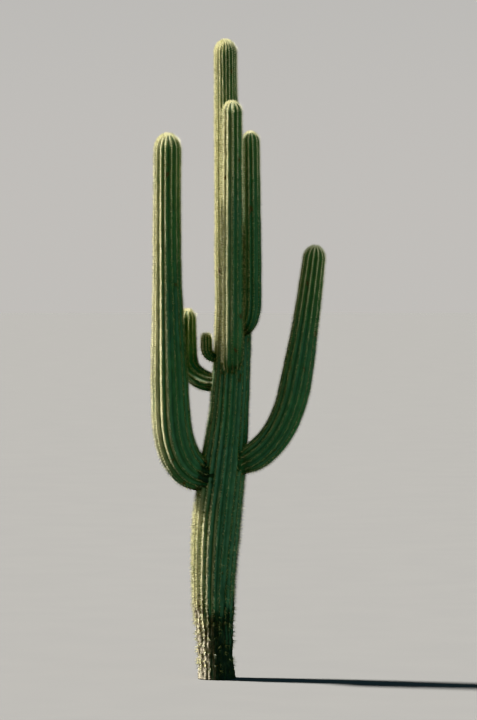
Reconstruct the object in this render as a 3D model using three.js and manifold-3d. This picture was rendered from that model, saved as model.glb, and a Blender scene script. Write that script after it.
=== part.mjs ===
// A saguaro cactus rooted in level ground: a tall ribbed trunk, five arms that turn up beside it, and a
// young arm that has only just sprouted.
//
// Millimetres, +Z up. The origin is the centre of the flat cut at ground level. The left and right arms
// spread along X, the two slender arms in front stand towards -Y, and a short one stands behind the left arm.
import * as THREE from "three";
import { mergeVertices } from "three/addons/utils/BufferGeometryUtils.js";
import Module from "manifold-3d";

// Driving dimensions
const HEIGHT = 8000; // from the ground to the trunk's tip
const GIRTH = 300; // the trunk's radius at its thickest, below the arms
const CLEARANCE = 0.5; // between the trunk's skin and an arm's foot, and between an elbow and its column

// The ribs. Their depth goes with the stem's radius, so they close up towards the tip.
const TRUNK_RIBS = 20;
const RIB_DEPTH = 0.13; // of the radius
const CREST_WIDTH = 0.3; // of the pitch from rib to rib
const BARK_HEIGHT = 1300; // the old bark at the trunk's foot has flatter ribs up to here
const BARK_RIB_DEPTH = 0.35; // of the depth that they have above it

// A stem ends in a dome, this many times as long as it is thick at its shoulder.
const DOME_LENGTH = 1.15;
const DOME_RINGS = 5;

// How far up its column an arm goes on the way that its elbow ends, as a share of the column's rise
const STRAIGHTENING = 0.4;

// How far apart the rings of a mesh lie
const TRUNK_STEP = 240;
const ELBOW_STEP = 105;
const COLUMN_STEP = 270;

// The trunk from the ground up: height, sway to the right, sway to the back, radius. It is pinched just
// above a small root flare, thickest under the arms, and slender where it rises clear of them.
const TRUNK_STATIONS = [
  [0, 0, 0, 0.81 * GIRTH],
  [300, -14, 4, 0.75 * GIRTH],
  [1100, -34, 14, 0.88 * GIRTH],
  [1950, 6, 20, GIRTH],
  [2700, 86, 16, 0.97 * GIRTH],
  [3450, 162, 8, 0.83 * GIRTH],
  [4500, 208, -6, 0.75 * GIRTH],
  [5250, 166, 4, 0.61 * GIRTH],
  [6000, 136, 22, 0.51 * GIRTH],
  [HEIGHT, 113, 40, 0.465 * GIRTH],
];

// The arms. side is the way an arm leaves the trunk, in degrees about Z from +X, and root the height at which
// its axis leaves the trunk's. corner, bend and tip are places on the arm, each [out from the trunk's axis,
// up from the root]: where the elbow would turn if it were sharp, where it has turned and the column begins,
// and the tip. swing is how far the tip stands aside of that plane. radii are those at the root, the bend,
// half way up the column and the shoulder.
const ARMS = [
  {
    name: "left_arm",
    ribs: 15,
    side: 192,
    root: 2560,
    corner: [604, -130],
    bend: [650, 780],
    tip: [695, 4262],
    swing: 20,
    radii: [240, 243, 182, 168],
  },
  {
    name: "right_arm",
    ribs: 14,
    side: -19,
    root: 2660,
    corner: [763, 90],
    bend: [955, 1040],
    tip: [1218, 2764],
    swing: 0,
    radii: [178, 200, 168, 142],
  },
  {
    name: "front_arm",
    ribs: 12,
    side: -89,
    root: 3900,
    corner: [445, 0],
    bend: [440, 500],
    tip: [376, 3323],
    swing: 0,
    radii: [118, 138, 133, 126],
  },
  {
    name: "front_right_arm",
    ribs: 12,
    side: -48,
    root: 4350,
    corner: [355, 0],
    bend: [354, 400],
    tip: [330, 2497],
    swing: 0,
    radii: [106, 120, 118, 112],
  },
  {
    name: "back_left_arm",
    ribs: 12,
    side: 157,
    root: 3700,
    corner: [600, -20],
    bend: [600, 350],
    tip: [590, 927],
    swing: 0,
    radii: [126, 132, 120, 108],
  },
];

// The young arm is too short to bend round any gap, so it is one piece.
const SPROUT = {
  name: "sprout",
  ribs: 10,
  side: 192,
  root: 4000,
  corner: [322, 0],
  bend: [328, 140],
  tip: [330, 338],
  swing: 0,
  radii: [60, 74, 74, 70],
};

const RIGHT = new THREE.Vector3(1, 0, 0);
const BACK = new THREE.Vector3(0, 1, 0);
const UP = new THREE.Vector3(0, 0, 1);

/** The value of smooth curves at t. rows are [t, value, value, ...] with t rising. */
function glide(rows, t) {
  const last = rows.length - 1;
  let i = 0;
  while (i < last - 1 && t > rows[i + 1][0]) i += 1;
  const span = rows[i + 1][0] - rows[i][0];
  const u = THREE.MathUtils.clamp((t - rows[i][0]) / span, 0, 1);
  const slope = (k, column) => {
    const before = rows[Math.max(k - 1, 0)];
    const after = rows[Math.min(k + 1, last)];
    return (after[column] - before[column]) / (after[0] - before[0]);
  };
  const values = [];
  for (let column = 1; column < rows[i].length; column += 1) {
    const start = rows[i][column];
    const rise = rows[i + 1][column] - start;
    const out = slope(i, column) * span;
    const into = slope(i + 1, column) * span;
    values.push(start + u * (out + u * (3 * rise - 2 * out - into + u * (out + into - 2 * rise))));
  }
  return values;
}

/** How much of its full radius a stem has left at s, where its dome of this reach ends at length. */
function domeShare(s, length, reach) {
  const into = (s - (length - reach)) / reach;
  return into <= 0 ? 1 : Math.sqrt(Math.max(0, 1 - into * into));
}

/** The trunk as a stem: where its section at height s lies, how thick it is and how deeply ribbed. */
function trunkStem() {
  const shoulder = glide(TRUNK_STATIONS, HEIGHT)[2];
  const reach = DOME_LENGTH * shoulder;
  return {
    ribs: TRUNK_RIBS,
    length: HEIGHT,
    reach,
    place(s) {
      const [x, y] = glide(TRUNK_STATIONS, s);
      return { centre: new THREE.Vector3(x, y, s), normal: RIGHT, side: BACK };
    },
    radius: (s) => glide(TRUNK_STATIONS, s)[2] * domeShare(s, HEIGHT, reach),
    ribDepth: (s) => THREE.MathUtils.lerp(BARK_RIB_DEPTH, 1, THREE.MathUtils.smoothstep(s, 0, BARK_HEIGHT)),
  };
}

/** An arm as a stem along its elbow and column, with s measured along its axis from the trunk's. */
function armStem(arm, trunk) {
  const angle = THREE.MathUtils.degToRad(arm.side);
  const out = new THREE.Vector3(Math.cos(angle), Math.sin(angle), 0);
  const across = new THREE.Vector3().crossVectors(UP, out);
  const root = trunk.place(arm.root).centre;
  const at = ([reach, rise], swing = 0) =>
    root.clone().addScaledVector(out, reach).addScaledVector(UP, rise).addScaledVector(across, swing);

  const corner = at(arm.corner);
  const bend = at(arm.bend);
  const tip = at(arm.tip, arm.swing);
  // The column starts the way the elbow ends, and straightens over its lower part.
  const onward = bend.clone().sub(corner);
  const pull = bend.clone().addScaledVector(onward, (STRAIGHTENING * (tip.z - bend.z)) / onward.z);
  const path = new THREE.CurvePath();
  path.add(new THREE.QuadraticBezierCurve3(root, corner, bend));
  path.add(new THREE.QuadraticBezierCurve3(bend, pull, tip));

  const [elbowLength, columnLength] = path.curves.map((curve) => curve.getLength());
  const length = elbowLength + columnLength;
  const [rootRadius, bendRadius, middleRadius, shoulderRadius] = arm.radii;
  const reach = DOME_LENGTH * shoulderRadius;
  const girths = [
    [0, rootRadius],
    [elbowLength, bendRadius],
    [elbowLength + (columnLength - reach) / 2, middleRadius],
    [length, shoulderRadius],
  ];
  return {
    ribs: arm.ribs,
    length,
    reach,
    elbowLength,
    place(s) {
      const [curve, share] =
        s < elbowLength
          ? [path.curves[0], s / elbowLength]
          : [path.curves[1], Math.min(1, (s - elbowLength) / columnLength)];
      const tangent = curve.getTangentAt(share);
      const normal = new THREE.Vector3().crossVectors(across, tangent).normalize();
      const side = new THREE.Vector3().crossVectors(tangent, normal);
      return { centre: curve.getPointAt(share), normal, side };
    },
    radius: (s) => glide(girths, s)[0] * domeShare(s, length, reach),
    ribDepth: () => 1,
  };
}

/** Distances along a stem from one end of a piece to the other, no more than step apart. */
function evenly(from, to, step) {
  const count = Math.ceil((to - from) / step);
  return Array.from({ length: count + 1 }, (_, i) => from + ((to - from) * i) / count);
}

/** The same to the stem's tip, closing up over the dome. The tip itself is left out. */
function toTheTip(stem, from, step) {
  const shoulder = stem.length - stem.reach;
  const dome = Array.from(
    { length: DOME_RINGS - 1 },
    (_, i) => shoulder + stem.reach * Math.sin(((i + 1) / DOME_RINGS) * (Math.PI / 2)),
  );
  return [...evenly(from, shoulder, step), ...dome];
}

/** One ribbed section of a stem: each rib has the two edges of its crest and the valley beside it. */
function section(stem, s, grow) {
  const { centre, normal, side } = stem.place(s);
  const radius = stem.radius(s);
  const crest = radius + grow;
  const valley = radius * (1 - RIB_DEPTH * stem.ribDepth(s)) + grow;
  const pitch = (2 * Math.PI) / stem.ribs;
  const points = [];
  for (let rib = 0; rib < stem.ribs; rib += 1) {
    for (const [offset, r] of [[-CREST_WIDTH / 2, crest], [CREST_WIDTH / 2, crest], [0.5, valley]]) {
      const angle = (rib + offset) * pitch;
      const point = centre.clone().addScaledVector(normal, r * Math.cos(angle));
      points.push(point.addScaledVector(side, r * Math.sin(angle)));
    }
  }
  return points;
}

/** A closed ribbed solid through the stem's sections at the distances given, and on to the tip if asked. */
function ribbedSolid(stem, distances, toTip, grow = 0) {
  const rings = distances.map((s) => section(stem, s, grow));
  const around = rings[0].length;
  const foot = stem.place(distances[0]).centre;
  const head = stem.place(toTip ? stem.length : distances.at(-1)).centre;
  if (toTip) head.z += grow;
  const points = [...rings.flat(), foot, head];
  const footIndex = points.length - 2;
  const headIndex = points.length - 1;
  const faces = [];
  for (let k = 0; k < around; k += 1) {
    const next = (k + 1) % around;
    faces.push(footIndex, next, k);
    for (let ring = 0; ring < rings.length - 1; ring += 1) {
      const low = ring * around;
      const high = low + around;
      faces.push(low + k, low + next, high + next, low + k, high + next, high + k);
    }
    const top = (rings.length - 1) * around;
    faces.push(top + k, top + next, headIndex);
  }
  const geometry = new THREE.BufferGeometry().setFromPoints(points);
  geometry.setIndex(faces);
  return geometry;
}

const wasm = await Module();
wasm.setup();

/** A closed geometry as a solid that can be cut. */
function toSolid(geometry) {
  const merged = mergeVertices(geometry);
  return new wasm.Manifold(
    new wasm.Mesh({
      numProp: 3,
      vertProperties: merged.attributes.position.array,
      triVerts: new Uint32Array(merged.index.array),
    }),
  );
}

function toGeometry(solid) {
  const { vertProperties, triVerts } = solid.getMesh();
  const geometry = new THREE.BufferGeometry();
  geometry.setAttribute("position", new THREE.BufferAttribute(vertProperties, 3));
  geometry.setIndex(new THREE.BufferAttribute(triVerts, 1));
  return geometry;
}

/** The part of a stem outside the trunk. Scraps left loose in the valleys of the trunk's ribs are dropped. */
function outsideTrunk(stem) {
  const pieces = stem.subtract(trunkRoom).decompose();
  return pieces.reduce((a, b) => (a.volume() > b.volume() ? a : b));
}

/** The waxy skin, grey-green where it is old and a yellower green where it is young. */
function skin(color) {
  return new THREE.MeshStandardMaterial({ color, roughness: 0.62, metalness: 0, flatShading: true });
}

const TRUNK_SKIN = skin(0x4f6650);
const ARM_SKIN = skin(0x4c6b4e);
const SPROUT_SKIN = skin(0x5d7a4c);

const saguaro = new THREE.Group();

function addNode(name, geometry, material) {
  geometry.computeVertexNormals();
  const mesh = new THREE.Mesh(geometry, material);
  mesh.name = name;
  saguaro.add(mesh);
}

const trunk = trunkStem();
const trunkRings = toTheTip(trunk, 0, TRUNK_STEP);
addNode("trunk", ribbedSolid(trunk, trunkRings, true), TRUNK_SKIN);
const trunkRoom = toSolid(ribbedSolid(trunk, trunkRings, true, CLEARANCE));

for (const arm of ARMS) {
  const stem = armStem(arm, trunk);
  const elbow = toSolid(ribbedSolid(stem, evenly(0, stem.elbowLength, ELBOW_STEP), false));
  addNode(`${arm.name}_elbow`, toGeometry(outsideTrunk(elbow)), ARM_SKIN);
  const column = toTheTip(stem, stem.elbowLength + CLEARANCE, COLUMN_STEP);
  addNode(`${arm.name}_column`, ribbedSolid(stem, column, true), ARM_SKIN);
}

const sproutStem = armStem(SPROUT, trunk);
const sprout = toSolid(ribbedSolid(sproutStem, toTheTip(sproutStem, 0, ELBOW_STEP / 2), true));
addNode(SPROUT.name, toGeometry(outsideTrunk(sprout)), SPROUT_SKIN);

export default saguaro;
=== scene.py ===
"""Dresses the saguaro: ribbed skin with old bark at its foot, wool and spines up every rib, felt on the tips.

Metres, +Z up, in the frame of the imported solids. Each stem follows the rule of the solids that it replaces,
from the same named sizes, so its skin lies where they do.
"""

import copy
import math

import bpy
import numpy as np
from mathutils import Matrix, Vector


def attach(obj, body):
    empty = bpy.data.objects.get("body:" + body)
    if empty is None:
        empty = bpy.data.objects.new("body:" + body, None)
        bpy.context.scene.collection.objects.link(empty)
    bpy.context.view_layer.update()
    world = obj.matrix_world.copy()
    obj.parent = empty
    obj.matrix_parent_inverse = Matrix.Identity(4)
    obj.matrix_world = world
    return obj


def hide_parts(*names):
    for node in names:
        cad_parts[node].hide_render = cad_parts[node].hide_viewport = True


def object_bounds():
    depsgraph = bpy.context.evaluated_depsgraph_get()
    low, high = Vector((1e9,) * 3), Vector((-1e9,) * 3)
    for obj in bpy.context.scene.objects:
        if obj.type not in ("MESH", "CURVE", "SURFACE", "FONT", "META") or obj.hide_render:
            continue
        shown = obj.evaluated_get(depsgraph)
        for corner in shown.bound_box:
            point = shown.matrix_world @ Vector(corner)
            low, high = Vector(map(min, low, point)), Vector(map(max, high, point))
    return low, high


# The stems, from the same sizes as the solids
HEIGHT = 8.0  # from the ground to the trunk's tip
GIRTH = 0.300  # the trunk's radius at its thickest, below the arms
TRUNK_RIBS = 20
RIB_DEPTH = 0.13  # of the radius
BARK_HEIGHT = 1.3  # the old bark at the trunk's foot has flatter ribs up to here
BARK_RIB_DEPTH = 0.35  # of the depth that they have above it
DOME_LENGTH = 1.15  # of a stem's radius at its shoulder, where its dome begins
STRAIGHTENING = 0.4  # how far up its column an arm goes on the way that its elbow ends

# The trunk from the ground up: height, sway to the right, sway to the back, radius
TRUNK_STATIONS = [
    (0, 0, 0, 0.81 * GIRTH),
    (0.300, -0.014, 0.004, 0.75 * GIRTH),
    (1.100, -0.034, 0.014, 0.88 * GIRTH),
    (1.950, 0.006, 0.020, GIRTH),
    (2.700, 0.086, 0.016, 0.97 * GIRTH),
    (3.450, 0.162, 0.008, 0.83 * GIRTH),
    (4.500, 0.208, -0.006, 0.75 * GIRTH),
    (5.250, 0.166, 0.004, 0.61 * GIRTH),
    (6.000, 0.136, 0.022, 0.51 * GIRTH),
    (HEIGHT, 0.113, 0.040, 0.465 * GIRTH),
]

# The arms. side is the way an arm leaves the trunk, in degrees about Z from +X, and root the height at which
# its axis leaves the trunk's. corner, bend and tip are places on the arm, each (out from the trunk's axis,
# up from the root): where the elbow would turn if it were sharp, where it has turned, and the tip. swing is
# how far the tip stands aside of that plane. radii are those at the root, the bend, half way up the column
# and the shoulder. sunlit, from 0 to 1, scales the painted sunlight on the arm's skin, spines and wool: below
# 1 it is painted shadow from the other stems.
ARMS = [
    {
        "name": "left_arm",
        "ribs": 15,
        "side": 192,
        "root": 2.560,
        "corner": (0.604, -0.130),
        "bend": (0.650, 0.780),
        "tip": (0.695, 4.262),
        "swing": 0.020,
        "radii": (0.240, 0.243, 0.182, 0.168),
        "sunlit": 1,
    },
    {
        "name": "right_arm",
        "ribs": 14,
        "side": -19,
        "root": 2.660,
        "corner": (0.763, 0.090),
        "bend": (0.955, 1.040),
        "tip": (1.218, 2.764),
        "swing": 0,
        "radii": (0.178, 0.200, 0.168, 0.142),
        "sunlit": 0.1,
    },
    {
        "name": "front_arm",
        "ribs": 12,
        "side": -89,
        "root": 3.900,
        "corner": (0.445, 0),
        "bend": (0.440, 0.500),
        "tip": (0.376, 3.323),
        "swing": 0,
        "radii": (0.118, 0.138, 0.133, 0.126),
        "sunlit": 1,
    },
    {
        "name": "front_right_arm",
        "ribs": 12,
        "side": -48,
        "root": 4.350,
        "corner": (0.355, 0),
        "bend": (0.354, 0.400),
        "tip": (0.330, 2.497),
        "swing": 0,
        "radii": (0.106, 0.120, 0.118, 0.112),
        "sunlit": 0.3,
    },
    {
        "name": "back_left_arm",
        "ribs": 12,
        "side": 157,
        "root": 3.700,
        "corner": (0.600, -0.020),
        "bend": (0.600, 0.350),
        "tip": (0.590, 0.927),
        "swing": 0,
        "radii": (0.126, 0.132, 0.120, 0.108),
        "sunlit": 0.25,
    },
    {
        "name": "sprout",
        "ribs": 10,
        "side": 192,
        "root": 4.000,
        "corner": (0.322, 0),
        "bend": (0.328, 0.140),
        "tip": (0.330, 0.338),
        "swing": 0,
        "radii": (0.060, 0.074, 0.074, 0.070),
        "sunlit": 0.25,
    },
]

# The skin. Its ribs are as deep as the solids' flat folds but rounded on the crest, and it lies a little
# inside the solids' size, which takes in the feet of the spines.
CREST_ROUNDING = 0.3  # of half a rib's width
SKIN_INSET = 0.006
ACROSS_RIB = (-0.5, -0.36, -0.23, -0.11, 0, 0.11, 0.23, 0.36)  # where a rib's points lie, from -0.5 to 0.5
AREOLE_PITCH = 0.028  # up a rib. Neighbouring ribs are half a pitch out of step.
ROW = AREOLE_PITCH / 2
KNOB = 0.0022  # how far a rib's crest rises under each areole and sinks between two
KNOB_FADE = 2.2  # how fast that runs out on the way down to the valley

# How unevenly a stem grows. A pair is the least and the most that may be drawn.
CREST_SHIFT = 0.09  # of a rib's width, either way
RIB_STRENGTH = (0.84, 1.12)  # of the ribs' depth
TWIST = 0.03  # in radians, either way
TWIST_RATE = 1.3  # in radians to a metre
TWIST_STRENGTH = (0.5, 1.0)
WAISTS = 30  # more than the tallest stem has room for
WAIST_GAP = (0.3, 0.75)
WAIST_DEPTH = (0.004, 0.022)  # of the radius
WAIST_LENGTH = 0.032
SWELLS = ((0.007, 7.1, 1), (0.005, 13.7, 2.3))  # each is its share of the radius, its rate and its shift
SKIN_RELIEF = {"height": 0.0016, "wavelength": 0.16}

# A stem is younger towards its tip
YOUNG_LENGTH = 2.4  # below the tip, or half the stem's length if that is less
YOUNGEST_LENGTH = 0.1  # below the tip, as young as it gets

# An arm is a little slimmer where it leaves the trunk. Its skin starts inside the trunk, out of sight.
NECK_PINCH = 0.12
NECK_LENGTH = 0.12
SKIN_START = 0.8  # of the way to where the arm comes clear of the trunk, which is at least this:
LEAST_WAY = 0.05

# Old bark at the trunk's foot, and a little round the arms' necks. A pair holds the heights over which it
# runs out.
BARK_ENDS = (0.3, 1.6)
BARK_RELIEF_ENDS = (0.5, 1.5)
BARK_PLATES = {"height": 0.0055, "wavelength": 0.13}
BARK_FLAKES = {"height": 0.003, "wavelength": 0.05}
NECK_BARK = 0.62
NECK_BARK_LENGTH = 0.22

# The nest hole that a woodpecker cut in the trunk, with a corky lip
HOLE_HEIGHT = 5.11
HOLE_SIDE = math.radians(231)
HOLE_RADIUS = 0.036
HOLE_DEPTH = 0.075
HOLE_WALL = (0.7 * HOLE_RADIUS, 1.15 * HOLE_RADIUS)  # from the hole's floor out to the skin
HOLE_REACH = 0.1  # along its axis, so that it doesn't open the far side of the trunk
HOLE_CLEAR = 0.02  # no areole stands where the hole has cut deeper than this share
LIP_REACH = 1.1  # of the hole's radius
LIP_HEIGHT = 1.12  # of its width
LIP_THICKNESS = 0.0085
LIP_RELIEF = {"height": 0.2, "wavelength": 0.03}  # the height is a share of its thickness
LIP_BOW = 0.18  # the radius that it is bent to round the trunk

# Painted sunlight: the side of the plant that faces the sun is painted paler and creamier, and painted shadow
# takes it back where other stems cast their shadow. A change starts at the first number of a pair and is
# complete at the second.
PAINTED_SUN_SIDE = np.array([-0.80, -0.42, 0.43])  # towards the sun whose light is painted on the skin, bark, spines and wool
SUN_PAINT_FACING = (0.40, 0.82)  # how squarely the skin faces that sun where the painted sunlight starts and where it is full
STEM_FACING = 0.6  # how much of that is the stem's own roundness. The rest is the ribs'.
TRUNK_PAINTED_SHADOW = 0.85  # how much of the painted sunlight the left arm's painted shadow takes from the trunk between these heights:
SHADE_STARTS = (2.0, 2.5)
SHADE_ENDS = (3.9, 4.4)

# Where areoles stand, and how their spines change along a stem
WORN_OFF = (0.35, 1.3)  # how far the skin turns to bark before it loses an areole, drawn between these
LEAST_RIB_WIDTH = 0.008  # the ribs of a dome carry no areoles where they are narrower
RIB_WIDTH_SPREAD = (0.7, 1.4)  # of that width, drawn between these
LOWEST_AREOLE = 0.1
OLD_ENDS = (1.6, 3.2)  # the heights over which old growth gives way to young
CROWN_LENGTH = 1.2  # of the dome's length
CROWN_STARTS = 0.15  # of the way up the crown
SPINE_SPREAD = 0.35  # of the gap between two spines of a row
SPINE_FOOT = 0.003  # from the middle of the areole
CROWN_LIFT = 0.9  # how far spines lean up at a tip
OLD_DROOP = 0.25  # and down on old growth
CROWN_LENGTHENS = 0.35  # how much longer they are at a tip
STOUTNESS = {"least": 0.8, "old": 0.35, "sunny": 0.8}  # age and the painted sunlight mask add to the least

# Each row of spines round an areole: how many, how far they rise from the skin in degrees, how long they are
# on old growth and on young, and their half thickness.
SPINE_ROWS = [
    {"count": 6, "rise": (5, 36), "old": (0.022, 0.034), "young": (0.016, 0.025), "thick": 0.0012},
    {"count": 5, "rise": (38, 84), "old": (0.040, 0.064), "young": (0.026, 0.040), "thick": 0.0016},
]
CROWN_ROW = {"count": 6, "rise": (30, 75), "old": (0.020, 0.032), "young": (0.020, 0.032), "thick": 0.0012}

# The colours that spines are dealt, and the share of each on old, grown and young ribs, in proportion. On the
# sun's side they are dealt as if they were younger, so paler, as painted sunlight.
SPINE_COLOURS = {
    "spines_pale": {"colour": (0.74, 0.71, 0.47), "share": (8, 15, 66)},
    "spines_straw": {"colour": (0.36, 0.35, 0.19), "share": (22, 30, 28)},
    "spines_grey": {"colour": (0.072, 0.100, 0.070), "share": (48, 40, 1)},
    "spines_brown": {"colour": (0.045, 0.038, 0.024), "share": (22, 15, 3)},
}
SPINE_ROUGHNESS = 0.5
SUN_PAINT_SPINES = 1.8  # how much younger, so paler, the painted sunlight deals them

# The wool of the areoles, pale where it is young and, as painted sunlight, on the sun's side; grey elsewhere
WOOL_COLOURS = {"pale": (0.44, 0.41, 0.27), "grey": (0.085, 0.10, 0.062)}
WOOL_ROUGHNESS = 0.95
WOOL_SIZE = (0.0045, 0.0065)  # half its width, drawn between these
WOOL_STRETCH = 1.25  # up the rib
WOOL_SINK = 0.0012
WOOL_HEIGHT = 0.0032
YOUNG_WOOL = 0.35  # how much wider it is on young ribs
# how much the painted sunlight adds to an areole's youth when its wool is dealt
SUN_PAINT_WOOL = 1.1
FRESH_FROM = (0.15, 0.85)  # how young an areole is, with its painted sunlight added, before its wool is dealt pale

# The felt on the tips
FELT_WIDTH = 0.2  # of the stem's radius at its shoulder
FELT_SINK = 0.008
FELT_HEIGHT = 0.014
FELT_RELIEF = {"height": 0.0025, "wavelength": 0.02}

# Seeds of what is random. The first three are added to the stem's own seed.
SEEDS = {"areoles": 10, "spines": 20, "skin": 50, "plates": 71, "flakes": 72, "lip": 81, "felt": 90}

# The greens of the skin. The trunk is older, and bluer. crest is a lighter green laid on the rib crests,
# partly paler skin and partly painted highlight.
TRUNK_GREENS = {
    "old": (0.100, 0.174, 0.124),
    "grown": (0.100, 0.170, 0.110),
    "young": (0.074, 0.128, 0.072),
    "crest": (0.120, 0.194, 0.130),
}
ARM_GREENS = {
    "old": (0.067, 0.127, 0.084),
    "grown": (0.069, 0.127, 0.073),
    "young": (0.062, 0.112, 0.052),
    "crest": (0.085, 0.150, 0.090),
}
# Painted shade in the valleys between the ribs
VALLEY_PAINTED_SHADE = (0.028, 0.050, 0.037)
# Painted sunlight: the cream that the sun's side of the skin is painted towards
SUNLIT_PAINT_COLOUR = (0.44, 0.41, 0.26)
BLOTCH = (0.04, 0.05, 0.04)
SPECKLE = (0.075, 0.11, 0.06)
BLOOM = (0.075, 0.165, 0.085)
CORK = (0.060, 0.048, 0.030)
BARK_DARK = (0.020, 0.022, 0.020)
BARK_GREY = (0.034, 0.042, 0.036)
BARK_LIGHT = (0.065, 0.074, 0.060)
# Painted sunlight on the sun's side of the bark
BARK_SUNLIT_PAINT = (0.40, 0.36, 0.275)
# Painted shade inside the nest hole
HOLE_PAINTED_SHADE = (0.004, 0.003, 0.002)

# What lies over the green: noise with so many spots to a metre, drawn out along Z by stretch. between is the
# noise where a spot starts and where it is full.
SKIN_SPOTS = [
    {"colour": BLOTCH, "scale": 17, "stretch": 1.6, "detail": 4, "between": (0.35, 0.65), "strength": 0.3},
    {"colour": SPECKLE, "scale": 130, "stretch": 1, "detail": 2, "between": (0.35, 0.7), "strength": 0.24},
    {"colour": BLOOM, "scale": 6.5, "stretch": 3, "detail": 4, "between": (0.5, 0.72), "strength": 0.3},
    {"colour": CORK, "scale": 9, "stretch": 1.8, "detail": 6, "between": (0.665, 0.7), "strength": 0.85},
]

# Looks of two colours in spots, with a grain. spots and grain are so many to a metre.
FELT = {
    "colours": ((0.30, 0.22, 0.12), (0.62, 0.52, 0.34)),
    "spots": 160,
    "roughness": 0.95,
    "grain": 420,
    "height": 0.002,
}
HOLE_CORK = {
    "colours": ((0.10, 0.075, 0.05), (0.24, 0.19, 0.135)),
    "spots": 90,
    "roughness": 0.9,
    "grain": 200,
    "height": 0.003,
}

# The camera stands where the photograph's does, level with the upper trunk, and looks at the plant's middle.
EYE_AWAY = 58.9
EYE_HEIGHT = 5.49
LENS = 235
SENSOR = 36
SIGHT = 1000  # how far it sees

# The lamps, each as far away as a sun. The sun stands at the left, as in the photograph, so that most of what
# the camera sees is in open shade, and the fill softens that shade. side is in degrees about Z from +X, rise
# in degrees above the ground, and softness how wide the lamp looks, in degrees.
SUN = {"side": 164, "rise": 50, "strength": 24, "softness": 6, "colour": (1, 0.95, 0.85)}
FILL = {"side": -40, "rise": 25, "strength": 1.3, "softness": 80, "colour": (0.80, 1, 0.92)}

# The floor runs out to the horizon, where the sky is palest.
FLOOR_RADIUS = 300
FLOOR_DROP = 0.002
FLOOR_GREYS = ((0.0908, 0.0920, 0.0952), (0.0927, 0.0939, 0.0970))
HORIZON = (0.57, 0.555, 0.53)
ZENITH = (0.17, 0.20, 0.24)
SKY_DARKENS_TO = 0.35  # this far up, from 0 at the horizon to 1 overhead

UP = np.array([0.0, 0.0, 1.0])


# Curves and noise


def smoothstep(x, low, high):
    t = np.clip((x - low) / (high - low), 0, 1)
    return t * t * (3 - 2 * t)


def unit(vectors):
    return vectors / np.linalg.norm(vectors, axis=-1, keepdims=True)


def wander(points, wavelength, seed, waves=7):
    """Smooth noise of about -1 to 1 at each point, the sum of seeded plane waves."""
    draw = np.random.default_rng(seed)
    ways = unit(draw.normal(size=(waves, 3))) * draw.uniform(0.7, 1.5, (waves, 1))
    phases = draw.uniform(0, 2 * math.pi, waves)
    return np.sin(points @ ways.T * (2 * math.pi / wavelength) + phases).sum(axis=-1) / math.sqrt(waves)


def relief(points, kind, seed):
    """How far a kind of relief stands out at each point."""
    return kind["height"] * wander(points, kind["wavelength"], seed)


def glide(rows, t):
    """The values of smooth curves at each t. rows are (t, value, value, ...) with t rising."""
    rows = np.array(rows, float)
    at, values = rows[:, 0], rows[:, 1:]
    last = len(rows) - 1
    before = np.maximum(np.arange(last + 1) - 1, 0)
    after = np.minimum(np.arange(last + 1) + 1, last)
    slopes = (values[after] - values[before]) / (at[after] - at[before])[:, None]
    i = np.clip(np.searchsorted(at, t) - 1, 0, last - 1)
    span = (at[i + 1] - at[i])[:, None]
    u = np.clip((t - at[i])[:, None] / span, 0, 1)
    rise = values[i + 1] - values[i]
    out, into = slopes[i] * span, slopes[i + 1] * span
    return values[i] + u * (out + u * (3 * rise - 2 * out - into + u * (out + into - 2 * rise)))


def valley_share(across):
    """How far down towards the valley the skin lies, from 0 on the crest to 1 half a rib away."""
    bend = math.hypot(1, CREST_ROUNDING) - CREST_ROUNDING
    return (np.hypot(2 * across, CREST_ROUNDING) - CREST_ROUNDING) / bend


class Bezier:
    """A quadratic curve that is walked by distance."""

    def __init__(self, start, pull, end, samples=401):
        self.points = np.array([start, pull, end])
        self.t = np.linspace(0, 1, samples)
        steps = np.linalg.norm(np.diff(self.at(self.t), axis=0), axis=1)
        self.walked = np.concatenate([[0], np.cumsum(steps)])
        self.length = self.walked[-1]

    def at(self, t):
        t = t[:, None]
        start, pull, end = self.points
        return (1 - t) ** 2 * start + 2 * (1 - t) * t * pull + t**2 * end

    def walk(self, s):
        """Points and directions at distances s."""
        t = np.interp(s, self.walked, self.t)
        start, pull, end = self.points
        way = (1 - t)[:, None] * (pull - start) + t[:, None] * (end - pull)
        return self.at(t), unit(way)


# Stems


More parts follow.
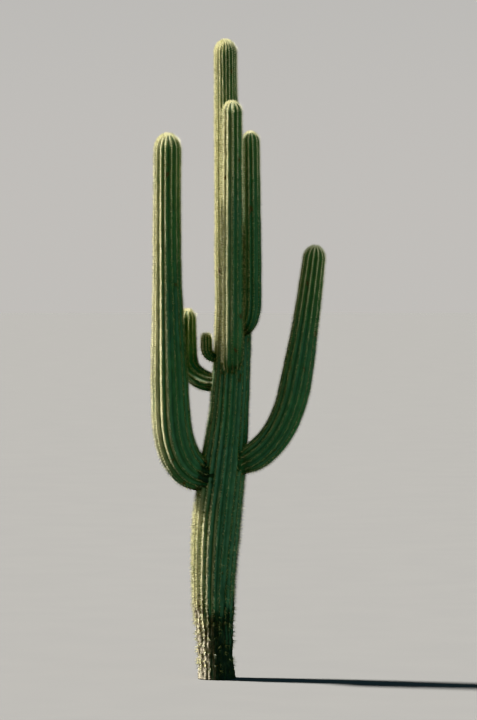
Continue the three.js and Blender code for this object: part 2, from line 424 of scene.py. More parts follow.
class Stem:
    """A ribbed stem. Its skin is a grid: row runs up the stem, and turn counts the ribs round it.

    A kind of stem adds where it is (place), its radius, rib depth, sunlight and bark.
    """

    def __init__(self, name, ribs, length, shoulder, start, seed):
        self.name = name
        self.ribs = ribs
        self.length = length
        self.reach = DOME_LENGTH * shoulder
        self.seed = seed
        draw = np.random.default_rng(seed)
        self.crest_shift = draw.uniform(-CREST_SHIFT, CREST_SHIFT, ribs)
        self.strength = draw.uniform(*RIB_STRENGTH, ribs)
        self.waists = np.cumsum(draw.uniform(*WAIST_GAP, WAISTS))
        self.waist_depths = draw.uniform(*WAIST_DEPTH, WAISTS)
        self.twist = draw.uniform(*TWIST_STRENGTH) * draw.choice([-1, 1])
        self.rings = self.ring_distances(start, shoulder)

    def ring_distances(self, start, shoulder):
        """How far up the stem each ring lies: evenly to the dome, then evenly over it."""
        top = self.length - self.reach
        shaft = np.linspace(start, top, round((top - start) / ROW) + 1)
        over_dome = math.pi / 4 * (self.reach + shoulder)
        count = round(over_dome / ROW)
        dome = top + self.reach * np.sin(np.arange(1, count) / count * math.pi / 2)
        return np.concatenate([shaft, dome])

    def dome_share(self, s):
        """How much of its full radius the stem has left at s."""
        into = np.clip((s - (self.length - self.reach)) / self.reach, 0, 1)
        return np.sqrt(1 - into**2)

    def by_rib(self, values, turn):
        """One value for each rib, run smoothly together between them."""
        return np.interp(turn % self.ribs, np.arange(self.ribs + 1), np.append(values, values[0]))

    def waist(self, s):
        """The share of its girth that the stem has at s, where dry years have pinched it."""
        pinch = np.exp(-(((s[:, None] - self.waists) / WAIST_LENGTH) ** 2)) @ self.waist_depths
        swell = sum(share * np.sin(s * rate + shift * self.seed) for share, rate, shift in SWELLS)
        return 1 + swell - pinch

    def distance(self, row):
        return np.interp(row, np.arange(len(self.rings)), self.rings)

    def angle(self, s, turn):
        """Which way from the stem's axis each place lies, in radians."""
        twist = TWIST * self.twist * np.sin(s * TWIST_RATE + self.seed)
        return (turn + self.by_rib(self.crest_shift, turn)) * 2 * math.pi / self.ribs + twist

    def surface(self, row, turn):
        """Points on the skin, how near to a crest each lies, from 0 in a valley to 1, and how squarely that
        side of the stem faces the sun."""
        s = self.distance(row)
        centre, normal, side = self.place(s)
        angle = self.angle(s, turn)
        outward = np.cos(angle)[:, None] * normal + np.sin(angle)[:, None] * side
        dome = self.dome_share(s)
        facing = dome * (outward @ PAINTED_SUN_SIDE) + np.sqrt(1 - dome**2) * (np.cross(normal, side) @ PAINTED_SUN_SIDE)
        rib = np.round(turn)
        low = valley_share(turn - rib)
        depth = RIB_DEPTH * self.rib_depth(s) * self.by_rib(self.strength, turn)
        radius = self.radius(s) * self.waist(s) * (1 - depth * low) - SKIN_INSET * dome
        radius += KNOB * dome * np.cos(math.pi * (row + rib)) * np.clip(1 - KNOB_FADE * low, 0, 1)
        smooth = centre + radius[:, None] * outward
        radius += dome * self.roughness(s, smooth)
        return centre + radius[:, None] * outward, 1 - low, facing

    def roughness(self, s, points):
        """How far the skin stands proud of its even ribs."""
        return relief(points, SKIN_RELIEF, self.seed + SEEDS["skin"])

    def in_hole(self, points):
        """Only the trunk has a nest hole."""
        return np.zeros(len(points))

    def painted_sunlight(self, s, facing):
        """How much painted sunlight the skin gets, from 0 to 1."""
        return self.sunlight(s) * smoothstep(facing, *SUN_PAINT_FACING)

    def young(self, s):
        """From 0 on grown ribs to 1 at the tip."""
        start = self.length - min(YOUNG_LENGTH, 0.5 * self.length)
        return smoothstep(s, start, self.length - YOUNGEST_LENGTH)


class Trunk(Stem):
    """The trunk, upright but for its sway, with old bark at its foot and the nest hole."""

    def __init__(self, seed):
        shoulder = glide(TRUNK_STATIONS, np.array([HEIGHT]))[0, 2]
        super().__init__("trunk", TRUNK_RIBS, HEIGHT, shoulder, 0.0, seed)
        hole_height = np.array([HOLE_HEIGHT])
        self.hole_out = np.array([math.cos(HOLE_SIDE), math.sin(HOLE_SIDE), 0])
        self.hole = self.place(hole_height)[0][0] + (self.radius(hole_height)[0] - SKIN_INSET) * self.hole_out

    def place(self, s):
        """Where the axis is at s, with the two directions that a ring is drawn in."""
        centre = np.column_stack([glide(TRUNK_STATIONS, s)[:, :2], s])
        return centre, np.tile([1.0, 0, 0], (len(s), 1)), np.tile([0, 1.0, 0], (len(s), 1))

    def radius(self, s):
        return glide(TRUNK_STATIONS, s)[:, 2] * self.dome_share(s)

    def rib_depth(self, s):
        return BARK_RIB_DEPTH + (1 - BARK_RIB_DEPTH) * smoothstep(s, 0, BARK_HEIGHT)

    def roughness(self, s, points):
        old = 1 - smoothstep(s, *BARK_RELIEF_ENDS)
        bark = relief(points, BARK_PLATES, SEEDS["plates"]) + relief(points, BARK_FLAKES, SEEDS["flakes"])
        return super().roughness(s, points) + old * bark - HOLE_DEPTH * self.in_hole(points)

    def in_hole(self, points):
        """1 in the nest hole, 0 outside it."""
        away = points - self.hole
        along = away @ self.hole_out
        apart = np.linalg.norm(away - along[:, None] * self.hole_out, axis=1)
        return (1 - smoothstep(apart, *HOLE_WALL)) * (np.abs(along) < HOLE_REACH)

    def sunlight(self, s):
        """How much painted sunlight the left arm's painted shadow leaves on the trunk, from 0 to 1."""
        return 1 - TRUNK_PAINTED_SHADOW * smoothstep(s, *SHADE_STARTS) * (1 - smoothstep(s, *SHADE_ENDS))

    def bark(self, s):
        """How far the skin has turned to bark."""
        return 1 - smoothstep(s, *BARK_ENDS)


class Arm(Stem):
    """An arm, whose axis is one curve round its elbow and another up its column."""

    def __init__(self, arm, trunk, seed):
        angle = math.radians(arm["side"])
        out = np.array([math.cos(angle), math.sin(angle), 0])
        self.across = np.cross(UP, out)
        self.sunlit = arm["sunlit"]
        height = np.array([arm["root"]])
        self.elbow, self.column = self.route(arm, trunk.place(height)[0][0], out)
        length = self.elbow.length + self.column.length
        root_radius, bend_radius, middle_radius, shoulder = arm["radii"]
        self.girths = [
            (0, root_radius),
            (self.elbow.length, bend_radius),
            (self.elbow.length + (self.column.length - DOME_LENGTH * shoulder) / 2, middle_radius),
            (length, shoulder),
        ]
        self.foot = (1 - RIB_DEPTH) * trunk.radius(height)[0]
        start = SKIN_START * math.sqrt(max(self.foot**2 - root_radius**2, LEAST_WAY**2))
        super().__init__(arm["name"], arm["ribs"], length, shoulder, start, seed)

    def route(self, arm, root, out):
        """The curves of the elbow and of the column."""
        corner, bend, tip = (root + reach * out + rise * UP for reach, rise in
                             (arm["corner"], arm["bend"], arm["tip"]))
        tip = tip + arm["swing"] * self.across
        onward = bend - corner
        pull = bend + onward * STRAIGHTENING * (tip[2] - bend[2]) / onward[2]
        return Bezier(root, corner, bend), Bezier(bend, pull, tip)

    def place(self, s):
        """Where the axis is at s, with the two directions that a ring is drawn in."""
        low, high = self.elbow.walk(s), self.column.walk(s - self.elbow.length)
        on_elbow = (s < self.elbow.length)[:, None]
        centre, tangent = (np.where(on_elbow, a, b) for a, b in zip(low, high))
        normal = unit(np.cross(self.across, tangent))
        return centre, normal, np.cross(tangent, normal)

    def radius(self, s):
        neck = 1 - NECK_PINCH * np.exp(-(((s - self.foot) / NECK_LENGTH) ** 2))
        return glide(self.girths, s)[:, 0] * self.dome_share(s) * neck

    def rib_depth(self, s):
        return np.ones_like(s)

    # How much painted sunlight the other stems' painted shadow leaves on the arm
    def sunlight(self, s):
        return np.full_like(s, self.sunlit)

    def bark(self, s):
        """A little old bark round the arm's neck."""
        return NECK_BARK * (1 - smoothstep(s, self.foot, self.foot + NECK_BARK_LENGTH))


# Meshes


def make_piece(name, points, *face_groups, smooth=True):
    """A mesh object. Each group of faces is an array with a face in each row."""
    corners = np.concatenate([faces.ravel() for faces in face_groups])
    sizes = np.concatenate([np.full(len(faces), faces.shape[1]) for faces in face_groups])
    mesh = bpy.data.meshes.new(name)
    mesh.vertices.add(len(points))
    mesh.vertices.foreach_set("co", points.astype(np.float32).ravel())
    mesh.loops.add(len(corners))
    mesh.loops.foreach_set("vertex_index", corners.astype(np.int32))
    mesh.polygons.add(len(sizes))
    mesh.polygons.foreach_set("loop_start", (np.cumsum(sizes) - sizes).astype(np.int32))
    mesh.polygons.foreach_set("use_smooth", np.full(len(sizes), smooth))
    mesh.update(calc_edges=True)
    piece = bpy.data.objects.new(name, mesh)
    bpy.context.scene.collection.objects.link(piece)
    return piece


def add_values(piece, name, values):
    attribute = piece.data.attributes.new(name, "FLOAT", "POINT")
    attribute.data.foreach_set("value", values.astype(np.float32))


def build_skin(stem):
    """The stem's skin, closed at its foot and its tip."""
    rows = len(stem.rings)
    across = np.tile(ACROSS_RIB, stem.ribs) + np.repeat(np.arange(stem.ribs), len(ACROSS_RIB))
    around = len(across)
    row, turn = (grid.ravel() for grid in np.meshgrid(np.arange(rows), across, indexing="ij"))
    points, crest, facing = stem.surface(row.astype(float), turn)
    s = stem.distance(row)
    ends = stem.place(np.array([stem.rings[0], stem.length]))[0]
    foot, tip = len(points), len(points) + 1

    k = np.arange(around)
    ring = np.arange(rows - 1)[:, None] * around
    after = (k + 1) % around
    quads = np.stack([ring + k, ring + after, ring + around + after, ring + around + k], axis=-1)
    top = (rows - 1) * around
    cap = np.column_stack([top + k, top + after, np.full(around, tip)])
    base = np.column_stack([after, k, np.full(around, foot)])
    piece = make_piece(stem.name + "_skin", np.vstack([points, ends]), quads.reshape(-1, 4), cap, base)

    # The last two values of each kind belong to the middles of the foot and the tip.
    normals = np.empty(3 * len(piece.data.vertices), np.float32)
    piece.data.vertices.foreach_get("normal", normals)
    # How squarely each place faces the sun, which sets how much painted sunlight it gets
    ribs_facing = (1 - STEM_FACING) * normals.reshape(-1, 3) @ PAINTED_SUN_SIDE
    facing = STEM_FACING * np.append(facing, [0, 1]) + ribs_facing
    add_values(piece, "crest", np.append(crest, [0.5, 0.5]))
    add_values(piece, "young", np.append(stem.young(s), [0, 1]))
    add_values(piece, "sunny", stem.painted_sunlight(np.append(s, [0, stem.length]), facing))
    add_values(piece, "bark", np.append(stem.bark(s), [0, 0]))
    add_values(piece, "hole", np.append(stem.in_hole(points), [0, 0]))
    lay_out_map(piece, stem, rows, around)
    return piece


def lay_out_map(piece, stem, rows, around):
    """A map for baking: the skin unrolled and cut across into strips that lie side by side."""
    girth = 2 * math.pi * float(np.mean(stem.radius(stem.rings)))
    strips = max(1, round(math.sqrt(stem.length / girth)))
    rows_each = math.ceil(rows / strips)
    margin = 0.012

    def spot(row, turn, strip):
        u = (strip + margin + turn / around * (1 - 2 * margin)) / strips
        v = margin + (row - strip * rows_each) / rows_each * (1 - 2 * margin)
        return np.stack(np.broadcast_arrays(u, v), axis=-1)

    row, turn = np.meshgrid(np.arange(rows - 1), np.arange(around), indexing="ij")
    strip = row // rows_each
    quads = [spot(row + up, turn + on, strip) for on, up in ((0, 0), (1, 0), (1, 1), (0, 1))]
    k, last = np.arange(around), (rows - 1) // rows_each
    foot_row, tip_row = -0.5, rows - 0.2
    cap = [spot(rows - 1, k, last), spot(rows - 1, k + 1, last), spot(tip_row, k + 0.5, last)]
    base = [spot(0, k + 1, 0), spot(0, k, 0), spot(foot_row, k + 0.5, 0)]
    groups = [np.stack(corners, axis=-2).reshape(-1, 2) for corners in (quads, cap, base)]
    layer = piece.data.uv_layers.new(name="OFBake")
    layer.uv.foreach_set("vector", np.concatenate(groups).astype(np.float32).ravel())


def build_felt(stems):
    """The cushions of felt in the hollows of the tips, joined into one piece."""
    rings, sides = 5, 18
    ring, k = (g.ravel() for g in np.meshgrid(np.arange(rings), np.arange(sides), indexing="ij"))
    lean, turn = ring / (rings - 1) * math.pi / 2, k / sides * 2 * math.pi
    dome = np.column_stack([np.cos(lean) * np.cos(turn), np.cos(lean) * np.sin(turn), np.sin(lean)])
    low = np.arange(rings - 1)[:, None] * sides
    k = np.arange(sides)
    after = (k + 1) % sides
    quads = np.stack([low + k, low + after, low + sides + after, low + sides + k], axis=-1).reshape(-1, 4)
    points, faces = [], []
    for n, stem in enumerate(stems):
        top = stem.place(np.array([stem.length]))[0][0]
        width = FELT_WIDTH * stem.reach / DOME_LENGTH
        cushion = top - [0, 0, FELT_SINK] + dome * [width, width, FELT_HEIGHT]
        cushion += relief(cushion, FELT_RELIEF, SEEDS["felt"] + n)[:, None] * dome
        points.append(cushion)
        faces.append(quads + n * len(dome))
    return make_piece("tip_felt", np.vstack(points), np.vstack(faces))


def build_hole_lip(trunk):
    """The corky callus round the nest hole."""
    centre, out = trunk.hole, trunk.hole_out
    sideways = np.cross(UP, out)
    around, tube = 40, 10
    a, b = (g.ravel() for g in np.meshgrid(np.arange(around), np.arange(tube), indexing="ij"))
    a, b = a / around * 2 * math.pi, b / tube * 2 * math.pi
    spoke = np.cos(a)[:, None] * sideways + np.sin(a)[:, None] * UP * LIP_HEIGHT
    ring = centre + spoke * HOLE_RADIUS * LIP_REACH
    thick = LIP_THICKNESS * (1 + relief(ring, LIP_RELIEF, SEEDS["lip"]))
    bow = -0.5 * (spoke @ sideways * HOLE_RADIUS * LIP_REACH) ** 2 / LIP_BOW
    points = ring + (bow + thick * np.sin(b))[:, None] * out + (thick * np.cos(b))[:, None] * spoke
    i, j = np.arange(around)[:, None], np.arange(tube)[None]
    on, up = (i + 1) % around, (j + 1) % tube
    quads = np.stack(np.broadcast_arrays(
        i * tube + j, on * tube + j, on * tube + up, i * tube + up), axis=-1).reshape(-1, 4)
    return make_piece("nest_hole_lip", points, quads)


# Areoles, spines and wool


def inside(points, stem, step=0.012, skin=0.002, room=0.3):
    """Which points lie in a stem or against its skin. Only those within room of its axis are measured."""
    s = np.arange(0, stem.length, step)
    centre, radius = stem.place(s)[0], stem.radius(s) + skin
    found = np.zeros(len(points), bool)
    near = np.all((points > centre.min(0) - room) & (points < centre.max(0) + room), axis=1)
    apart = np.linalg.norm(points[near][:, None] - centre[None], axis=2)
    found[near] = (apart < radius).any(axis=1)
    return found


def areoles_show(stem, s, point, others):
    """Which places have an areole: not worn off, crowded out, cut away or covered by another stem."""
    draw = np.random.default_rng(stem.seed + SEEDS["areoles"])
    worn = stem.bark(s) > draw.uniform(*WORN_OFF, len(s))
    least = LEAST_RIB_WIDTH * stem.ribs / (2 * math.pi) * draw.uniform(*RIB_WIDTH_SPREAD, len(s))
    crowded = stem.radius(s) < least
    shown = ~(worn | crowded) & (point[:, 2] > LOWEST_AREOLE) & (stem.in_hole(point) < HOLE_CLEAR)
    for other in others:
        shown &= ~inside(point, other)
    return shown


class Areoles:
    """The areoles of a stem: where each stands, its outward, upward and sideways directions, and its age."""

    def __init__(self, stem, others):
        rows = len(stem.rings)
        row, rib = (g.ravel() for g in np.meshgrid(np.arange(2, rows - 2), np.arange(stem.ribs)))
        keep = (row + rib) % 2 == 0
        row, rib = row[keep].astype(float), rib[keep].astype(float)
        point, _, facing = stem.surface(row, rib)
        s = stem.distance(row)
        upward = unit(stem.surface(row + 1, rib)[0] - stem.surface(row - 1, rib)[0])
        sideways = unit(np.cross(upward, point - stem.place(s)[0]))
        outward = unit(np.cross(sideways, upward))
        shown = areoles_show(stem, s, point, others)
        self.point, self.outward, self.upward, self.sideways = (
            a[shown] for a in (point, outward, upward, sideways))
        self.young = stem.young(s)[shown]
        self.sunny = stem.painted_sunlight(s, facing)[shown]
        self.tip = smoothstep(s, stem.length - CROWN_LENGTH * stem.reach, stem.length)[shown]
        self.old = (1 - smoothstep(point[:, 2], *OLD_ENDS))[shown]

    def only(self, chosen):
        """Some of the areoles."""
        part = copy.copy(self)
        for name, values in vars(self).items():
            setattr(part, name, values[chosen])
        return part


def spine_row(areoles, kind, draw):
    """Feet, directions, lengths and half thicknesses of one row of spines on every areole."""
    shape = (len(areoles.point), kind["count"])
    spread = draw.uniform(-SPINE_SPREAD, SPINE_SPREAD, shape)
    turn = (np.arange(kind["count"]) + spread) * 2 * math.pi / kind["count"]
    turn += draw.uniform(0, 2 * math.pi, (shape[0], 1))
    rise = np.radians(draw.uniform(*kind["rise"], shape))
    upward, sideways, outward = (a[:, None] for a in (areoles.upward, areoles.sideways, areoles.outward))
    flat = np.cos(turn)[..., None] * upward + np.sin(turn)[..., None] * sideways
    way = np.cos(rise)[..., None] * flat + np.sin(rise)[..., None] * outward
    lift = (CROWN_LIFT * areoles.tip - OLD_DROOP * areoles.old)[:, None, None]
    way = unit(way + lift * upward)
    old = draw.uniform(*kind["old"], shape)
    young = draw.uniform(*kind["young"], shape)
    length = young + (old - young) * areoles.old[:, None]
    length *= 1 + CROWN_LENGTHENS * areoles.tip[:, None]
    stoutness = STOUTNESS["least"] + STOUTNESS["old"] * areoles.old + STOUTNESS["sunny"] * areoles.sunny
    thick = kind["thick"] * stoutness[:, None] * np.ones(shape)
    foot = areoles.point[:, None] + SPINE_FOOT * flat
    return [a.reshape(-1, a.shape[-1]) if a.ndim == 3 else a.ravel() for a in (foot, way, length, thick)]


def deal_colours(areoles, count, draw):
    """The number of the colour that each spine gets: paler on young ribs, and paler on the sun's side as
    painted sunlight.
    """
    paleness = np.repeat(1 - areoles.old + areoles.young + SUN_PAINT_SPINES * areoles.sunny, count)
    shares = np.array([colour["share"] for colour in SPINE_COLOURS.values()], float)
    chances = np.stack([np.interp(paleness, [0, 1, 2], share) for share in shares])
    chances = np.cumsum(chances / chances.sum(axis=0), axis=0)
    return (draw.random(len(paleness)) > chances).sum(axis=0).clip(0, len(shares) - 1)


def grow_spines(areoles, kind, draw):
    """One row of spines on every areole, with the number of each one's colour."""
    return *spine_row(areoles, kind, draw), deal_colours(areoles, kind["count"], draw)


def grow_wool(areoles, draw):
    """Where each cushion of wool lies, its directions, its size, and whether it is dealt pale wool: where it
    is young, and on the sun's side as painted sunlight.
    """
    count = len(areoles.point)
    size = draw.uniform(*WOOL_SIZE, count) * (1 + YOUNG_WOOL * areoles.young)
    fresh_and_sunlit = areoles.young + SUN_PAINT_WOOL * areoles.sunny > draw.uniform(*FRESH_FROM, count)
    return areoles.point, areoles.outward, areoles.upward, areoles.sideways, size, fresh_and_sunlit


def build_spines(name, foot, way, length, thick):
    """Every spine a slim three-sided spike, joined into one piece."""
    helper = np.where(np.abs(way[:, 2:]) < 0.9, UP, [[1.0, 0, 0]])
    first = unit(np.cross(way, helper))
    second = np.cross(way, first)
    corners = []
    for k in range(3):
        angle = 2 * math.pi * k / 3
        corners.append(foot + thick[:, None] * (math.cos(angle) * first + math.sin(angle) * second))
    points = np.stack([*corners, foot + length[:, None] * way], axis=1).reshape(-1, 3)
    sides = np.array([[0, 1, 3], [1, 2, 3], [2, 0, 3]])
    faces = (np.arange(len(foot))[:, None, None] * 4 + sides).reshape(-1, 3)
    return make_piece(name, points, faces, smooth=False)


def build_wool(name, point, outward, upward, sideways, size):
    """The low woolly cushions that the spines stand in, joined into one piece."""
    sides = 6
    angle = np.arange(sides) / sides * 2 * math.pi
    ring = (np.cos(angle)[None, :, None] * upward[:, None] * WOOL_STRETCH
            + np.sin(angle)[None, :, None] * sideways[:, None]) * size[:, None, None]
    rim = point[:, None] + ring - WOOL_SINK * outward[:, None]
    crown = point + WOOL_HEIGHT * outward
    points = np.concatenate([rim, crown[:, None]], axis=1).reshape(-1, 3)
    k = np.arange(sides)
    fan = np.column_stack([(k + 1) % sides, k, np.full(sides, sides)])
    faces = (np.arange(len(point))[:, None, None] * (sides + 1) + fan).reshape(-1, 3)
    return make_piece(name, points, faces)


# Materials


class Look:
    """A material under construction, with short words for its nodes."""

    def __init__(self, name):
        self.material = bpy.data.materials.new(name)
        self.material.use_nodes = True
        self.tree = self.material.node_tree
        self.shader = self.tree.nodes["Principled BSDF"]
        self.place = self.tree.nodes.new("ShaderNodeTexCoord").outputs["Object"]

    def add(self, kind, inputs, **settings):
        node = self.tree.nodes.new("ShaderNode" + kind)
        for key, value in settings.items():
            setattr(node, key, value)
        for socket, value in inputs.items():
            self.put(node.inputs[socket], value)
        return node

    def put(self, socket, value):
        """Links a socket to another one's output, or gives it a number or a colour."""
        if isinstance(value, bpy.types.NodeSocket):
            self.tree.links.new(value, socket)
        else:
            socket.default_value = (*value, 1) if isinstance(value, tuple) and len(value) == 3 else value

    def finish(self, sockets):
        """The material, once its shader has these values."""
        for name, value in sockets.items():
            self.put(self.shader.inputs[name], value)
        return self.material

    def value(self, name):
        """One of the skin's own values."""
        return self.add("Attribute", {}, attribute_name=name).outputs["Fac"]

    def mix(self, share, a, b):
        return self.add("Mix", {0: share, 6: a, 7: b}, data_type="RGBA").outputs[2]

    def stain(self, base, colour, value, between, strength=1.0):
        """The base with another colour over it, more and more as the value goes between two numbers."""
        return self.mix(self.ramp(value, between, (0.0, strength)), base, colour)

    def stretched(self, stretch):
        """Places for a pattern that is drawn out along Z."""
        mapping = self.add("Mapping", {"Vector": self.place})
        mapping.inputs["Scale"].default_value = (1, 1, 1 / stretch)
        return mapping.outputs["Vector"]

    def noise(self, scale, stretch=1.0, detail=4.0):
        """Noise with so many spots to a metre, drawn out along Z by stretch."""
        inputs = {"Vector": self.stretched(stretch), "Scale": scale, "Detail": detail}
        return self.add("TexNoise", inputs).outputs["Fac"]

    def cracks(self, scale, stretch, wobble):
        """0 in the cracks between plates, so many of them to a metre, and more inside each plate."""
        place = self.stretched(stretch)
        sway = self.add("TexNoise", {"Vector": place, "Scale": 1.7 * scale, "Detail": 3}).outputs["Color"]
        swayed = self.add("VectorMath", {0: sway, 2: place}, operation="MULTIPLY_ADD")
        swayed.inputs[1].default_value = (wobble, wobble, wobble)
        inputs = {"Vector": swayed.outputs[0], "Scale": scale}
        return self.add("TexVoronoi", inputs, feature="DISTANCE_TO_EDGE").outputs["Distance"]

    def ramp(self, value, between, to=(0.0, 1.0)):
        """Goes smoothly from one number to another as the value goes between two."""
        low, high = between
        inputs = {"Value": value, "From Min": low, "From Max": high, "To Min": to[0], "To Max": to[1]}
        return self.add("MapRange", inputs, interpolation_type="SMOOTHSTEP").outputs["Result"]

    def maths(self, operation, a, b):
        return self.add("Math", {0: a, 1: b}, operation=operation).outputs[0]

    def bump(self, height, distance, strength, below=None):
        inputs = {"Height": height, "Distance": distance, "Strength": strength}
        if below is not None:
            inputs["Normal"] = below
        return self.add("Bump", inputs).outputs["Normal"]


def flesh_colour(look, crest, young, sunny, greens):
    """Teal where it is old and olive where it is young, darker in the valleys as painted shade, lighter on
    the crests partly as painted highlight, paler and creamier on the sun's side as painted sunlight, and
    spotted.
    """
    green = look.stain(greens["old"], greens["grown"], look.noise(2.6, stretch=2.5), between=(0.35, 0.65))
    green = look.mix(young, green, greens["young"])
    # Painted shade: the valleys between the ribs are darkened
    green = look.stain(green, VALLEY_PAINTED_SHADE, crest, between=(0.55, 0.0), strength=0.62)
    # Partly painted highlight: the crests are laid with a lighter green
    green = look.stain(green, greens["crest"], crest, between=(0.72, 1.0), strength=0.5)
    # Painted sunlight: the sun's side of the skin is painted towards a cream, in patches and most on the
    # crests
    patchy = look.ramp(look.noise(4.5, stretch=3), (0.25, 0.6), to=(0.6, 0.95))
    sun_paint_share = look.maths("MULTIPLY", sunny, patchy)
    sun_paint_share = look.maths("MULTIPLY", sun_paint_share, look.ramp(crest, (0.0, 0.75), to=(0.15, 1.0)))
    green = look.mix(sun_paint_share, green, SUNLIT_PAINT_COLOUR)
    for spots in SKIN_SPOTS:
        pattern = look.noise(spots["scale"], spots["stretch"], spots["detail"])
        green = look.stain(green, spots["colour"], pattern, spots["between"], spots["strength"])
    return green


def bark_patterns(look):
    """The furrows that run up the bark, and how far inside its plates and flakes each place lies."""
    furrows = look.noise(34, stretch=5.0, detail=6)
    plates = look.ramp(look.cracks(22, stretch=3.2, wobble=0.09), (0.0, 0.16))
    flakes = look.ramp(look.cracks(60, stretch=1.2, wobble=0.04), (0.0, 0.10), to=(0.55, 1.0))
    return furrows, look.maths("MULTIPLY", plates, flakes)


def bark_colour(look, furrows, plates, sunny):
    """Grey plates with dark cracks and brown in patches, painted pale on the sun's side as painted sunlight.
    """
    colour = look.stain(BARK_GREY, BARK_LIGHT, furrows, between=(0.36, 0.66))
    colour = look.stain(colour, CORK, look.noise(5), between=(0.45, 0.75), strength=0.3)
    # Painted sunlight: pale on the sun's side
    colour = look.mix(look.maths("MULTIPLY", sunny, 0.9), colour, BARK_SUNLIT_PAINT)
    colour = look.stain(colour, BARK_DARK, plates, between=(1.0, 0.0), strength=0.62)
    return look.stain(colour, BARK_DARK, furrows, between=(0.5, 0.3), strength=0.5)


def bark_share(look, crest, bark):
    """How far each place has turned to bark, with a ragged edge that reaches higher on the crests."""
    ragged = look.ramp(look.noise(7, stretch=2.5, detail=5), (0.2, 0.8), to=(-0.42, 0.42))
    edge = look.maths("ADD", bark, ragged)
    edge = look.maths("ADD", edge, look.ramp(crest, (0, 1), to=(-0.14, 0.12)))
    return look.ramp(edge, (0.30, 0.85))


def skin_relief(look, barked, furrows, plates):
    """Fine wrinkles across the flesh, and deep cracks in the bark."""
    fine = look.bump(look.noise(190, detail=3), distance=0.0012, strength=0.5)
    wrinkles = look.bump(look.noise(26, stretch=0.22), distance=0.003, strength=0.5, below=fine)
    deep = look.bump(look.maths("ADD", plates, furrows), distance=0.009, strength=1)
    return look.add("Mix", {0: barked, 4: wrinkles, 5: deep}, data_type="VECTOR").outputs[1]


def skin_look(name, greens):
    """Waxy ribbed skin that turns to corky bark."""
    look = Look(name)
    crest, young, sunny, bark, hole = (look.value(own) for own in ("crest", "young", "sunny", "bark", "hole"))
    furrows, plates = bark_patterns(look)
    barked = bark_share(look, crest, bark)
    flesh = flesh_colour(look, crest, young, sunny, greens)
    colour = look.mix(barked, flesh, bark_colour(look, furrows, plates, sunny))
    waxy = look.ramp(look.noise(40), (0.3, 0.7), to=(0.44, 0.6))
    return look.finish({
        # Painted shade: near-black inside the nest hole
        "Base Color": look.stain(colour, HOLE_PAINTED_SHADE, hole, between=(0.02, 0.2)),
        "Roughness": look.maths("ADD", waxy, look.maths("MULTIPLY", barked, 0.32)),
        "Normal": skin_relief(look, barked, furrows, plates),
        "Specular IOR Level": 0.2,
        "Coat Weight": 0.02,
        "Coat Roughness": 0.35,
    })


def plain_look(name, colour, roughness):
    """One plain colour, for small things that are joined by the thousand."""
    return Look(name).finish({"Base Color": colour, "Roughness": roughness})


def grainy_look(name, colours, spots, roughness, grain, height):
    """Spots of two colours, with a grain."""
    look = Look(name)
    return look.finish({
        "Base Color": look.stain(*colours, look.noise(spots), between=(0.3, 0.7)),
        "Roughness": roughness,
        "Normal": look.bump(look.noise(grain), distance=height, strength=0.8),
    })


# Stage, light and camera


def build_stage():
    """A plain pale floor that runs out to the pale sky."""
    sides = 128
    angle = np.arange(sides) / sides * 2 * math.pi
    rim = FLOOR_RADIUS * np.column_stack([np.cos(angle), np.sin(angle), np.zeros(sides)])
    floor = make_piece("floor", rim - [0, 0, FLOOR_DROP], np.arange(sides)[None])
    look = Look("floor")
    floor.data.materials.append(look.finish({
        "Base Color": look.stain(*FLOOR_GREYS, look.noise(0.8), between=(0.3, 0.7)),
        "Roughness": 1,
        "Specular IOR Level": 0,
    }))


def build_sky():
    """An even sky, paler towards the ground."""
    world = bpy.data.worlds.new("sky")
    world.use_nodes = True
    tree = world.node_tree
    place = tree.nodes.new("ShaderNodeTexCoord")
    split = tree.nodes.new("ShaderNodeSeparateXYZ")
    height = tree.nodes.new("ShaderNodeMapRange")
    height.interpolation_type = "SMOOTHSTEP"
    height.inputs["From Min"].default_value = 0
    height.inputs["From Max"].default_value = SKY_DARKENS_TO
    colour = tree.nodes.new("ShaderNodeMix")
    colour.data_type = "RGBA"
    colour.inputs[6].default_value = (*HORIZON, 1)
    colour.inputs[7].default_value = (*ZENITH, 1)
    tree.links.new(place.outputs["Generated"], split.inputs[0])
    tree.links.new(split.outputs["Z"], height.inputs["Value"])
    tree.links.new(height.outputs["Result"], colour.inputs[0])
    tree.links.new(colour.outputs[2], tree.nodes["Background"].inputs["Color"])
    bpy.context.scene.world = world


def hang_lamp(name, kind):
    """A lamp whose light comes from one side, the same everywhere."""
    light = bpy.data.lights.new(name, "SUN")
    light.energy = kind["strength"]
    light.angle = math.radians(kind["softness"])
    light.color = kind["colour"]
    lamp = bpy.data.objects.new(name, light)
    bpy.context.scene.collection.objects.link(lamp)
    side, rise = math.radians(kind["side"]), math.radians(kind["rise"])
    towards = Vector((math.cos(side) * math.cos(rise), math.sin(side) * math.cos(rise), math.sin(rise)))
    lamp.rotation_mode = "QUATERNION"
    lamp.rotation_quaternion = towards.to_track_quat("Z", "Y")


def place_camera(low, high):
    """The photograph's point of view, with a contrast near to its own."""
    camera = bpy.data.cameras.new("camera")
    camera.lens = LENS
    camera.sensor_width = SENSOR
    camera.clip_end = SIGHT
    eye = bpy.data.objects.new("camera", camera)
    bpy.context.scene.collection.objects.link(eye)
    middle = (low + high) / 2
    eye.location = (middle.x, -EYE_AWAY, EYE_HEIGHT)
    eye.rotation_mode = "QUATERNION"
    eye.rotation_quaternion = (eye.location - Vector((middle.x, 0, middle.z))).to_track_quat("Z", "Y")
    bpy.context.scene.camera = eye
    bpy.context.scene.view_settings.view_transform = "Khronos PBR Neutral"


# The whole


def settle(piece, look, nodes=()):
    """Gives a piece its look and its place in the model."""
    piece.data.materials.append(look)
    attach(piece, "root")
    if nodes:
        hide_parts(*nodes)


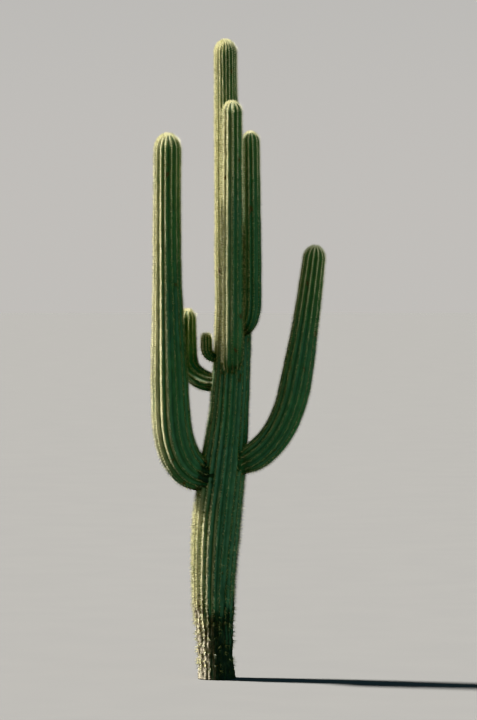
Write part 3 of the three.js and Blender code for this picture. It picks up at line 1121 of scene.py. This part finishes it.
def dress_skins(trunk, arms):
    trunk_look = skin_look("trunk_skin", TRUNK_GREENS)
    arm_look = skin_look("arm_skin", ARM_GREENS)
    settle(build_skin(trunk), trunk_look, ["trunk"])
    for arm in arms:
        if arm.name == "sprout":
            settle(build_skin(arm), arm_look, ["sprout"])
        else:
            settle(build_skin(arm), arm_look, [arm.name + "_elbow", arm.name + "_column"])


def dress_areoles(trunk, arms):
    """Spines and wool on every stem, joined by colour."""
    spines, wool = [], []
    for stem in [trunk, *arms]:
        areoles = Areoles(stem, arms if stem is trunk else [trunk])
        draw = np.random.default_rng(stem.seed + SEEDS["spines"])
        for kind in SPINE_ROWS:
            spines.append(grow_spines(areoles, kind, draw))
        crown = areoles.only(areoles.tip > CROWN_STARTS)
        spines.append(grow_spines(crown, CROWN_ROW, draw))
        wool.append(grow_wool(areoles, draw))

    *shape, colour = (np.concatenate(parts) for parts in zip(*spines))
    for n, (name, kind) in enumerate(SPINE_COLOURS.items()):
        piece = build_spines(name, *(values[colour == n] for values in shape))
        settle(piece, plain_look(name, kind["colour"], SPINE_ROUGHNESS))

    *shape, fresh_and_sunlit = (np.concatenate(parts) for parts in zip(*wool))
    for age, mine in (("pale", fresh_and_sunlit), ("grey", ~fresh_and_sunlit)):
        piece = build_wool("wool_" + age, *(values[mine] for values in shape))
        settle(piece, plain_look("wool_" + age, WOOL_COLOURS[age], WOOL_ROUGHNESS))


def dress():
    trunk = Trunk(seed=1)
    arms = [Arm(arm, trunk, seed=2 + n) for n, arm in enumerate(ARMS)]
    dress_skins(trunk, arms)
    dress_areoles(trunk, arms)
    settle(build_felt([trunk, *arms]), grainy_look("tip_felt", **FELT))
    settle(build_hole_lip(trunk), grainy_look("hole_cork", **HOLE_CORK))


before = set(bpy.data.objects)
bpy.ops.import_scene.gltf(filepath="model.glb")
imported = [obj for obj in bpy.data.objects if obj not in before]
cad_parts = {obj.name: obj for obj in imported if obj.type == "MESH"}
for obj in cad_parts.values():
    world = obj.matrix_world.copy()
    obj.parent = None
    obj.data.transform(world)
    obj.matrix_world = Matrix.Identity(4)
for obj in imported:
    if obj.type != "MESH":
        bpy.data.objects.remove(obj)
cad_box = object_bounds()
dress()
build_stage()
build_sky()
hang_lamp("sun", SUN)
hang_lamp("fill", FILL)
place_camera(*cad_box)
